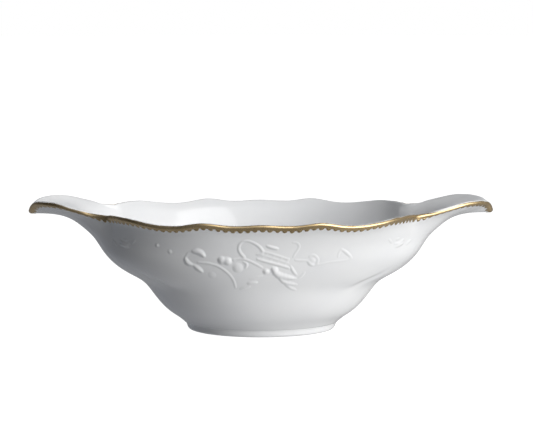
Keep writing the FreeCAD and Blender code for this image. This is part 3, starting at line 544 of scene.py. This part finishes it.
def relief_field(P, strokes, buds):
    """Height over wall points P (n, 3)."""
    acc = np.zeros(len(P))
    cut = np.zeros(len(P))
    for item in strokes:
        path, w, h = item[:3]
        kind = item[3] if len(item) > 3 else "plain"
        c = catmull(path)
        C = wall_at(c[:, 0], c[:, 1])
        t = np.concatenate([[0], np.cumsum(np.linalg.norm(np.diff(C, axis=0), axis=-1))]); L = t[-1]; t = t/L
        lo = C.min(0)-w*2-1; hi = C.max(0)+w*2+1
        near = np.nonzero(np.all((P > lo) & (P < hi), axis=1))[0]
        if len(near) == 0: continue
        Q = P[near]
        D = np.linalg.norm(Q[:, None]-C[None], axis=-1)
        k = D.argmin(1); d = D[np.arange(len(near)), k]; tt = t[k]
        hw = 0.5*w*taper(tt, kind)
        # which side of the centre line, from the wall's x and z
        tang = np.gradient(C, axis=0)[k]
        rel = Q-C[k]
        side = np.sign(tang[:, 0]*rel[:, 2]-tang[:, 2]*rel[:, 0])
        if kind == "leaf":
            # soft lobes along the edge and a vein down the middle
            lobes = 1.0+0.14*np.sin(2*math.pi*tt*L/2.6+side*1.2)
            f = bell(d/(1.5*hw*lobes))
            f = f*(1.0-0.22*np.exp(-(d/(0.22*hw+0.12))**2)*np.clip(w/2.6-0.4, 0, 1))
        else:
            f = bell(d/(1.45*hw))
        acc[near] += (h*f)**3
    for b in buds:
        x, z, r, h = b[:4]
        kind = b[4] if len(b) > 4 else "bud"
        c = wall_at(np.array([x]), np.array([z]))[0]
        n = wall_normal(np.array([x]), np.array([z]))[0]
        d = np.linalg.norm(P-c, axis=-1)
        t = d/(1.18*r)
        f = np.where(t < 1, (1-np.clip(t, 0, 1)**2.6)**1.3, 0)
        if kind == "bud":
            # a shallow spiral fold, as on a half-open flower
            e1 = unit_rows(np.cross([0, 0, 1.0], n)); e2 = np.cross(n, e1)
            a = np.arctan2((P-c)@e2, (P-c)@e1)
            fold = np.sin(a*1.0+d/r*4.6)
            f = f*(1-0.22*np.clip(fold, 0, 1)*np.clip(1-d/r, 0, 1)*np.clip(d/r*3, 0, 1))
        acc[P[:, 0] > -1e9] += (h*f)**3
    return np.cbrt(acc)-cut

def soften(H, sigma):
    r = int(3*sigma+1)
    k = np.exp(-0.5*(np.arange(-r, r+1)/sigma)**2); k /= k.sum()
    for ax in (0, 1):
        H = np.apply_along_axis(lambda v: np.convolve(v, k, mode="same"), ax, H)
    return H

def relief_sheet(strokes, buds, step=0.36, lift=1.0):
    xs = [p[0] for s in strokes for p in s[0]]+[b[0]-b[2] for b in buds]+[b[0]+b[2] for b in buds]
    zs = [p[1] for s in strokes for p in s[0]]+[b[1]-b[2] for b in buds]+[b[1]+b[2] for b in buds]
    X = np.arange(min(xs)-4, max(xs)+4, step); Z = np.arange(min(zs)-4, min(78.0, max(zs)+4), step)
    gx, gz = np.meshgrid(X, Z, indexing="ij")
    P = wall_at(gx.ravel(), gz.ravel())
    N = wall_normal(gx.ravel(), gz.ravel())
    H = relief_field(P, strokes, buds)*lift
    nx, nz = gx.shape
    # the glaze pools round the modelling and softens it
    H = soften(H.reshape(nx, nz), 0.62/step).ravel()
    on = (H > 0.05).reshape(nx, nz)
    # keep cells with any corner raised
    cell = on[:-1, :-1] | on[1:, :-1] | on[:-1, 1:] | on[1:, 1:]
    for _ in range(1):
        c2 = cell.copy()
        c2[1:] |= cell[:-1]; c2[:-1] |= cell[1:]; c2[:, 1:] |= cell[:, :-1]; c2[:, :-1] |= cell[:, 1:]
        cell = c2
    # no two cells may meet only at a corner
    for _ in range(6):
        a = cell[:-1, :-1] & cell[1:, 1:] & ~cell[1:, :-1] & ~cell[:-1, 1:]
        b = ~cell[:-1, :-1] & ~cell[1:, 1:] & cell[1:, :-1] & cell[:-1, 1:]
        if not (a.any() or b.any()): break
        i, j = np.nonzero(a); cell[i+1, j] = True
        i, j = np.nonzero(b); cell[i, j] = True
    top = P+N*(H-0.06)[:, None]
    bot = P-N*0.5
    used = np.zeros((nx, nz), bool)
    used[:-1, :-1] |= cell; used[1:, :-1] |= cell; used[:-1, 1:] |= cell; used[1:, 1:] |= cell
    idx = -np.ones(nx*nz, int); u = np.nonzero(used.ravel())[0]; idx[u] = np.arange(len(u))
    idx = idx.reshape(nx, nz); nU = len(u)
    V = np.concatenate([top[u], bot[u]])
    F = []
    ci, cj = np.nonzero(cell)
    A, B, C, D = idx[ci, cj], idx[ci+1, cj], idx[ci+1, cj+1], idx[ci, cj+1]
    F += list(zip(A.tolist(), B.tolist(), C.tolist(), D.tolist()))
    F += list(zip((D+nU).tolist(), (C+nU).tolist(), (B+nU).tolist(), (A+nU).tolist()))
    pad = np.pad(cell, 1)
    for di, dj, p, q in ((0, -1, (0, 0), (1, 0)), (1, 0, (1, 0), (1, 1)), (0, 1, (1, 1), (0, 1)), (-1, 0, (0, 1), (0, 0))):
        nb = pad[1+di:1+di+cell.shape[0], 1+dj:1+dj+cell.shape[1]]
        bi, bj = np.nonzero(cell & ~nb)
        a = idx[bi+p[0], bj+p[1]]; b = idx[bi+q[0], bj+q[1]]
        F += list(zip(b.tolist(), a.tolist(), (a+nU).tolist(), (b+nU).tolist()))
    return V, F

def mirror_x(strokes, buds):
    s = [([(-x, z) for x, z in it[0]],)+tuple(it[1:]) for it in strokes]
    return s, [(-b[0],)+tuple(b[1:]) for b in buds]

# ------------------------------------------------------------------
# Materials
# ------------------------------------------------------------------
def new_mat(name):
    m = bpy.data.materials.new(name)
    m.use_nodes = True
    nt = m.node_tree
    return m, nt, nt.nodes["Principled BSDF"]

def node(nt, kind, **values):
    n = nt.nodes.new(kind)
    for k, v in values.items():
        if k in n.inputs: n.inputs[k].default_value = v
        else: setattr(n, k, v)
    return n

def ramp(nt, fac, stops):
    r = nt.nodes.new("ShaderNodeValToRGB")
    e = r.color_ramp.elements
    while len(e) < len(stops): e.new(0.5)
    for q, (p, c) in enumerate(stops):
        e[q].position = p
        e[q].color = tuple(c)+(1.0,) if len(c) == 3 else c
    nt.links.new(fac, r.inputs["Fac"])
    return r

def coords(nt):
    return nt.nodes.new("ShaderNodeTexCoord").outputs["Object"]

def glaze_material(name, tint=(0.0, 0.0, 0.0)):
    m, nt, b = new_mat(name)
    co = coords(nt)
    n1 = node(nt, "ShaderNodeTexNoise", Scale=26.0, Detail=4.0, Roughness=0.55)
    nt.links.new(co, n1.inputs["Vector"])
    # tint lifts the glaze colour evenly; the foot's copy uses it as painted light
    c = ramp(nt, n1.outputs["Fac"], [(0.30, (0.742+tint[0], 0.748+tint[1], 0.756+tint[2])), (0.72, (0.784+tint[0], 0.787+tint[1], 0.788+tint[2]))])
    nt.links.new(c.outputs["Color"], b.inputs["Base Color"])
    n2 = node(nt, "ShaderNodeTexNoise", Scale=60.0, Detail=3.0)
    nt.links.new(co, n2.inputs["Vector"])
    r = ramp(nt, n2.outputs["Fac"], [(0.35, (0.026, 0.026, 0.026)), (0.70, (0.048, 0.048, 0.048))])
    nt.links.new(r.outputs["Color"], b.inputs["Roughness"])
    n3 = node(nt, "ShaderNodeTexNoise", Scale=300.0, Detail=2.0)
    n4 = node(nt, "ShaderNodeTexNoise", Scale=38.0, Detail=2.0)
    nt.links.new(co, n3.inputs["Vector"]); nt.links.new(co, n4.inputs["Vector"])
    mx = node(nt, "ShaderNodeMath", operation="MULTIPLY_ADD")
    nt.links.new(n4.outputs["Fac"], mx.inputs[0]); mx.inputs[1].default_value = 3.0
    nt.links.new(n3.outputs["Fac"], mx.inputs[2])
    bp = node(nt, "ShaderNodeBump", Strength=0.06, Distance=0.0003)
    nt.links.new(mx.outputs[0], bp.inputs["Height"])
    nt.links.new(bp.outputs["Normal"], b.inputs["Normal"])
    b.inputs["IOR"].default_value = 1.52
    b.inputs["Specular IOR Level"].default_value = 0.5
    return m

def biscuit_material():
    m, nt, b = new_mat("biscuit_edge")
    co = coords(nt)
    n1 = node(nt, "ShaderNodeTexNoise", Scale=900.0, Detail=4.0, Roughness=0.7)
    nt.links.new(co, n1.inputs["Vector"])
    c = ramp(nt, n1.outputs["Fac"], [(0.28, (0.52, 0.49, 0.44)), (0.45, (0.74, 0.72, 0.68)), (0.8, (0.80, 0.79, 0.76))])
    nt.links.new(c.outputs["Color"], b.inputs["Base Color"])
    n2 = node(nt, "ShaderNodeTexNoise", Scale=1600.0, Detail=3.0)
    nt.links.new(co, n2.inputs["Vector"])
    r = ramp(nt, n2.outputs["Fac"], [(0.3, (0.55, 0.55, 0.55)), (0.8, (0.75, 0.75, 0.75))])
    nt.links.new(r.outputs["Color"], b.inputs["Roughness"])
    bp = node(nt, "ShaderNodeBump", Strength=0.35, Distance=0.0002)
    nt.links.new(n2.outputs["Fac"], bp.inputs["Height"])
    nt.links.new(bp.outputs["Normal"], b.inputs["Normal"])
    return m

def gold_material(name, painted_shade_factor=1.0):
    m, nt, b = new_mat(name)
    co = coords(nt)
    n1 = node(nt, "ShaderNodeTexNoise", Scale=85.0, Detail=6.0, Roughness=0.62)
    nt.links.new(co, n1.inputs["Vector"])
    # a factor below 1 darkens the whole gold evenly: painted shade
    c = ramp(nt, n1.outputs["Fac"], [(0.28, (0.46*painted_shade_factor, 0.335*painted_shade_factor, 0.175*painted_shade_factor)), (0.50, (0.55*painted_shade_factor, 0.412*painted_shade_factor, 0.225*painted_shade_factor)), (0.75, (0.62*painted_shade_factor, 0.478*painted_shade_factor, 0.28*painted_shade_factor))])
    nt.links.new(c.outputs["Color"], b.inputs["Base Color"])
    b.inputs["Metallic"].default_value = 1.0
    n2 = node(nt, "ShaderNodeTexNoise", Scale=210.0, Detail=5.0, Roughness=0.6)
    nt.links.new(co, n2.inputs["Vector"])
    r = ramp(nt, n2.outputs["Fac"], [(0.30, (0.22, 0.22, 0.22)), (0.55, (0.28, 0.28, 0.28)), (0.78, (0.36, 0.36, 0.36))])
    nt.links.new(r.outputs["Color"], b.inputs["Roughness"])
    n3 = node(nt, "ShaderNodeTexNoise", Scale=520.0, Detail=3.0)
    nt.links.new(co, n3.inputs["Vector"])
    bp = node(nt, "ShaderNodeBump", Strength=0.12, Distance=0.0002)
    nt.links.new(n3.outputs["Fac"], bp.inputs["Height"])
    nt.links.new(bp.outputs["Normal"], b.inputs["Normal"])
    return m

# ------------------------------------------------------------------
# Pieces
# ------------------------------------------------------------------
MAT_GLAZE = glaze_material("white_glaze")
# the foot ring has the body's own glaze, painted lighter: painted light for the bright strip along the foot
MAT_FOOT_PAINTED_LIGHT = glaze_material("foot_glaze_painted_light", (0.085, 0.085, 0.085))
MAT_RELIEF = glaze_material("relief_glaze")
MAT_BISCUIT = biscuit_material()
MAT_GOLD = gold_material("burnished_gold")
# the teeth have the band's own gold, painted darker: painted shade on the outward and downward-facing teeth
MAT_TEETH_PAINTED_SHADE = gold_material("gold_teeth_painted_shade", 0.88)

def place(ob, slot, *nodes):
    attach(ob, "root")
    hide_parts(*nodes)
    return ob

V, F, BODY_GRID = build_body()
bowl = place(new_mesh("bowl", V, F, [MAT_GLAZE]), "body_porcelain", "bowl_body")
V, F, fm = build_foot()
foot = place(new_mesh("foot", V, F, [MAT_FOOT_PAINTED_LIGHT, MAT_BISCUIT], fm), "foot_porcelain", "foot_ring")
V, F, uv = build_band()
band = place(new_mesh("gilded_lip", V, F, [MAT_GOLD]), "gilding", "rim_gilding_band")
V, F = build_teeth()
teeth = place(new_mesh("gilded_teeth", V, F, [MAT_TEETH_PAINTED_SHADE]), "gilding", "rim_gilding_teeth")

for name, S, B in (("cartouche", CARTOUCHE, CARTOUCHE_BUDS), ("left_spray", LEFT_SPRAY, LEFT_SPRAY_BUDS),
                   ("right_spray", RIGHT_SPRAY, RIGHT_SPRAY_BUDS), ("lower_leaves", LOWER_LEAVES, LOWER_LEAVES_BUDS)):
    V, F = relief_sheet(S, B)
    place(new_mesh("relief_front_"+name, V, F, [MAT_RELIEF]), "ornament_porcelain", "front_"+name)
    W = V*np.array([-1.0, -1.0, 1.0])
    place(new_mesh("relief_back_"+name, W, F, [MAT_RELIEF]), "ornament_porcelain", "back_"+name)

V1, F1 = relief_sheet(HANDLE_SPRIG, [], lift=1.5)
S2, B2 = mirror_x(HANDLE_SPRIG, [])
V2, F2 = relief_sheet(S2, B2, lift=1.5)
def join(Va, Fa, Vb, Fb):
    o = len(Va)
    return np.concatenate([Va, Vb]), Fa+[tuple(i+o for i in f) for f in Fb]
turn = np.array([-1.0, -1.0, 1.0])
V, F = join(V1, F1, V2*turn, F2)
place(new_mesh("relief_left_handle", V, F, [MAT_RELIEF]), "ornament_porcelain", "left_handle_sprigs")
V, F = join(V2, F2, V1*turn, F1)
place(new_mesh("relief_right_handle", V, F, [MAT_RELIEF]), "ornament_porcelain", "right_handle_sprigs")

# ------------------------------------------------------------------
# Floor, light, camera
# ------------------------------------------------------------------
def floor_plane(name, size, z, mat):
    me = bpy.data.meshes.new(name)
    s = size/2
    me.from_pydata([(-s, -s, z), (s, -s, z), (s, s, z), (-s, s, z)], [], [(0, 1, 2, 3)])
    ob = bpy.data.objects.new(name, me)
    bpy.context.collection.objects.link(ob)
    me.materials.append(mat)
    return ob

m, nt, b = new_mat("pale_floor")
b.inputs["Base Color"].default_value = (0.25, 0.25, 0.25, 1)
b.inputs["Roughness"].default_value = 1.0
b.inputs["Specular IOR Level"].default_value = 0.0
b.inputs["Emission Color"].default_value = (1, 1, 1, 1)
b.inputs["Emission Strength"].default_value = 1.0
seen = floor_plane("floor_seen", 40.0, -0.0004, m)
seen.visible_diffuse = False
seen.visible_glossy = False
seen.visible_transmission = False
seen.visible_shadow = False

# light bouncing back off the table close to the bowl: x, y, strength, radius
GLOW = [(0, -0.12, 0.703, 0.035), (0.0849, -0.0849, 0.491, 0.035), (0.12, -0, 1.233, 0.035), (0.0849, 0.0849, 0.502, 0.035), (-0.0849, -0.0849, 0.035, 0.035), (0.1626, 0.1626, 0.903, 0.06), (0.3182, 0.3182, 0.646, 0.13)]
m = bpy.data.materials.new("table_glow")
m.use_nodes = True
nt = m.node_tree
nt.nodes.clear()
out = nt.nodes.new("ShaderNodeOutputMaterial"); both = nt.nodes.new("ShaderNodeAddShader")
em = nt.nodes.new("ShaderNodeEmission"); clear = nt.nodes.new("ShaderNodeBsdfTransparent")
nt.links.new(em.outputs[0], both.inputs[0]); nt.links.new(clear.outputs[0], both.inputs[1])
nt.links.new(both.outputs[0], out.inputs["Surface"])
geo = nt.nodes.new("ShaderNodeNewGeometry")
total = None
for x, y, s, r in GLOW:
    off = nt.nodes.new("ShaderNodeVectorMath"); off.operation = "SUBTRACT"; off.inputs[1].default_value = (x, y, -0.0006)
    nt.links.new(geo.outputs["Position"], off.inputs[0])
    d2 = nt.nodes.new("ShaderNodeVectorMath"); d2.operation = "DOT_PRODUCT"
    nt.links.new(off.outputs[0], d2.inputs[0]); nt.links.new(off.outputs[0], d2.inputs[1])
    m1 = node(nt, "ShaderNodeMath", operation="MULTIPLY"); m1.inputs[1].default_value = -0.5/(r*r)
    nt.links.new(d2.outputs["Value"], m1.inputs[0])
    m2 = node(nt, "ShaderNodeMath", operation="EXPONENT"); nt.links.new(m1.outputs[0], m2.inputs[0])
    m3 = node(nt, "ShaderNodeMath", operation="MULTIPLY_ADD"); m3.inputs[1].default_value = s; m3.inputs[2].default_value = 0.0
    nt.links.new(m2.outputs[0], m3.inputs[0])
    if total is not None: nt.links.new(total, m3.inputs[2])
    total = m3.outputs[0]
nt.links.new(total, em.inputs["Strength"])
glow = floor_plane("floor_glow", 1.8, -0.0006, m)
glow.visible_camera = False
glow.visible_glossy = False
glow.visible_shadow = False

w = bpy.data.worlds.new("studio")
bpy.context.scene.world = w
w.use_nodes = True
nt = w.node_tree
nt.nodes.clear()
out = nt.nodes.new("ShaderNodeOutputWorld")
bg = nt.nodes.new("ShaderNodeBackground"); bgc = nt.nodes.new("ShaderNodeBackground")
mixs = nt.nodes.new("ShaderNodeMixShader"); lp = nt.nodes.new("ShaderNodeLightPath")
tc = nt.nodes.new("ShaderNodeTexCoord")
# broad soft lights around the bowl: azimuth from the front (right positive), elevation, strength, tightness
SOFT = [(-180, -55, 0.182, 10), (-120, -55, 0.624, 10), (120, -55, 1.386, 10), (-135, -18, 0.952, 10),
        (-180, 12, 0.189, 10), (30, 12, 0.231, 10), (60, 12, 2.409, 10), (18, 42, 1.520, 10),
        (162, 42, 0.303, 10), (32, 8, 2.098, 45), (50, 8, 3.900, 45), (68, 8, 1.505, 45)]
total = None
low = node(nt, "ShaderNodeMath", operation="MULTIPLY_ADD"); low.inputs[1].default_value = -0.80; low.inputs[2].default_value = 1.0
nt.links.new(lp.outputs["Is Glossy Ray"], low.inputs[0])
for az, el, s, k in SOFT:
    a, e = math.radians(az), math.radians(el)
    dot = nt.nodes.new("ShaderNodeVectorMath"); dot.operation = "DOT_PRODUCT"
    dot.inputs[1].default_value = (math.sin(a)*math.cos(e), -math.cos(a)*math.cos(e), math.sin(e))
    nt.links.new(tc.outputs["Generated"], dot.inputs[0])
    m1 = node(nt, "ShaderNodeMath", operation="MULTIPLY_ADD"); m1.inputs[1].default_value = k; m1.inputs[2].default_value = -k
    nt.links.new(dot.outputs["Value"], m1.inputs[0])
    m2 = node(nt, "ShaderNodeMath", operation="EXPONENT"); nt.links.new(m1.outputs[0], m2.inputs[0])
    m3 = node(nt, "ShaderNodeMath", operation="MULTIPLY_ADD"); m3.inputs[1].default_value = s; m3.inputs[2].default_value = 0.0
    nt.links.new(m2.outputs[0], m3.inputs[0])
    if el < 0:
        # the table's glow is diffuse: mirror-like reflections see it darker
        m4 = node(nt, "ShaderNodeMath", operation="MULTIPLY")
        nt.links.new(m2.outputs[0], m4.inputs[0]); nt.links.new(low.outputs[0], m4.inputs[1])
        nt.links.new(m4.outputs[0], m3.inputs[0])
    if total is not None: nt.links.new(total, m3.inputs[2])
    total = m3.outputs[0]
# dim surroundings that only mirror-like surfaces pick up, lighter to the right and in front
side = nt.nodes.new("ShaderNodeVectorMath"); side.operation = "DOT_PRODUCT"; side.inputs[1].default_value = (0.19, -0.07, 0)
nt.links.new(tc.outputs["Generated"], side.inputs[0])
dim = node(nt, "ShaderNodeMath", operation="ADD"); dim.inputs[1].default_value = 0.25
nt.links.new(side.outputs["Value"], dim.inputs[0])
amb = node(nt, "ShaderNodeMath", operation="MULTIPLY_ADD"); nt.links.new(dim.outputs[0], amb.inputs[1])
nt.links.new(lp.outputs["Is Glossy Ray"], amb.inputs[0]); nt.links.new(total, amb.inputs[2])
nt.links.new(amb.outputs[0], bg.inputs["Strength"])
# the light from the left is a touch cooler
sep = nt.nodes.new("ShaderNodeSeparateXYZ"); nt.links.new(tc.outputs["Generated"], sep.inputs[0])
rng = nt.nodes.new("ShaderNodeMapRange"); rng.clamp = True
rng.inputs["From Min"].default_value = -0.5; rng.inputs["From Max"].default_value = 0.3
nt.links.new(sep.outputs["X"], rng.inputs["Value"])
tint = nt.nodes.new("ShaderNodeMix"); tint.data_type = "RGBA"
ends = [i for i in tint.inputs if i.type == "RGBA"]
ends[0].default_value = (0.93, 0.97, 1.06, 1); ends[1].default_value = (1, 1, 1, 1)
nt.links.new(rng.outputs["Result"], tint.inputs[0])
nt.links.new([o for o in tint.outputs if o.type == "RGBA"][0], bg.inputs["Color"])
bgc.inputs["Color"].default_value = (1, 1, 1, 1); bgc.inputs["Strength"].default_value = 1.0
nt.links.new(lp.outputs["Is Camera Ray"], mixs.inputs["Fac"])
nt.links.new(bg.outputs[0], mixs.inputs[1]); nt.links.new(bgc.outputs[0], mixs.inputs[2])
nt.links.new(mixs.outputs[0], out.inputs["Surface"])

def soft_box(name, az, el, dist, sx, sy, power, target=(0, 0, 0.06), shape="RECTANGLE"):
    """az from the front, positive to the right; el above the table, degrees."""
    a, e = math.radians(az), math.radians(el)
    d = Vector((math.sin(a)*math.cos(e), -math.cos(a)*math.cos(e), math.sin(e)))
    lt = bpy.data.lights.new(name, "AREA")
    lt.shape = shape; lt.size = sx; lt.size_y = sy; lt.energy = power
    ob = bpy.data.objects.new(name, lt)
    bpy.context.collection.objects.link(ob)
    ob.location = Vector(target)+d*dist
    ob.rotation_euler = d.to_track_quat("Z", "Y").to_euler()
    ob.visible_camera = False
    return ob


def upright_box(name, az, dist, z0, z1, width, roll, radiance):
    """An upright soft box facing the bowl, dist away across the table."""
    a = math.radians(az)
    d = Vector((math.sin(a), -math.cos(a), 0.0))
    lt = bpy.data.lights.new(name, "AREA")
    lt.shape = "RECTANGLE"; lt.size = width; lt.size_y = z1-z0
    lt.energy = radiance*math.pi*width*(z1-z0)
    ob = bpy.data.objects.new(name, lt)
    bpy.context.collection.objects.link(ob)
    side = Vector((0, 0, 1)).cross(d)
    r = math.radians(roll)
    x = side*math.cos(r)+Vector((0, 0, 1))*math.sin(r)
    y = d.cross(x)
    p = d*dist+Vector((0, 0, (z0+z1)/2))
    ob.matrix_world = Matrix(((x.x, y.x, d.x, p.x), (x.y, y.y, d.y, p.y), (x.z, y.z, d.z, p.z), (0, 0, 0, 1)))
    ob.visible_camera = False
    return ob

upright_box("key_box", 34.8, 1.0, 0.45, 1.80, 0.85, -2.5, 2.30)

cam = bpy.data.cameras.new("camera")
cam.sensor_fit = "HORIZONTAL"; cam.sensor_width = 36.0
F_PX, W_PX = 2098.7, 533.0
cam.lens = F_PX*36.0/W_PX
cam.clip_start = 0.05; cam.clip_end = 60.0
co = bpy.data.objects.new("camera", cam)
bpy.context.collection.objects.link(co)
D, EL, AZ, ROLL, TX, TZ = 1.5, 5.654, -0.719, -0.082, 0.003862, 0.07526
e, a, r = math.radians(EL), math.radians(AZ), math.radians(ROLL)
back = Vector((math.sin(a)*math.cos(e), -math.cos(a)*math.cos(e), math.sin(e)))
right = (-back).cross(Vector((0, 0, 1))).normalized()
up = right.cross(-back)
R2 = right*math.cos(r)+up*math.sin(r)
U2 = -right*math.sin(r)+up*math.cos(r)
C = Vector((TX, 0, TZ))+back*D
co.matrix_world = Matrix(((R2.x, U2.x, back.x, C.x), (R2.y, U2.y, back.y, C.y), (R2.z, U2.z, back.z, C.z), (0, 0, 0, 1)))
bpy.context.scene.camera = co

vs = bpy.context.scene.view_settings
vs.view_transform = "Standard"
vs.look = "None"
vs.exposure = 0.0
vs.gamma = 1.0
